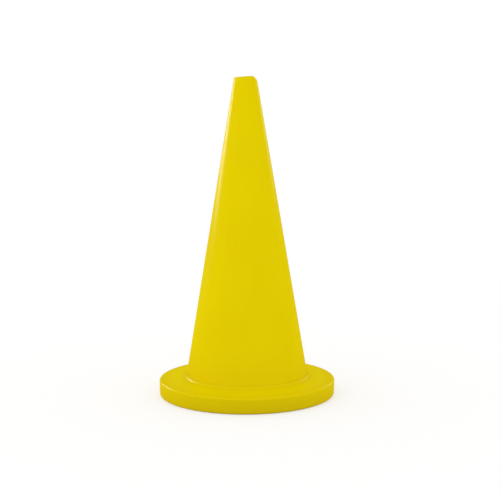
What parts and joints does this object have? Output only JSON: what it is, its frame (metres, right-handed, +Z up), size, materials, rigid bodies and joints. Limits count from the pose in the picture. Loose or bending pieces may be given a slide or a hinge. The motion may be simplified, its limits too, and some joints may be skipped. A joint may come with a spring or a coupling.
{
  "type": "sports marker cone",
  "caption": "Tall yellow training cone: hollow straight-sided plastic body with an open top for a pole, locked into a round weighted base, stackable.",
  "frame": {"origin": "on the ground at the middle of the round base", "axes": "+Z up along the cone's axis, +X to the right in the picture's view, +Y away from the viewer"},
  "size_m": [0.2768, 0.2768, 0.5],
  "materials": {
    "yellow_plastic": "satin",
    "plate_plastic": "matte",
    "ballast_rubber": "matte"
  },
  "bodies": {
    "root": {"cone_body": "yellow_plastic", "base_shell": "yellow_plastic", "base_plate": "plate_plastic", "ballast_ring": "ballast_rubber"}
  },
  "joints": []
}
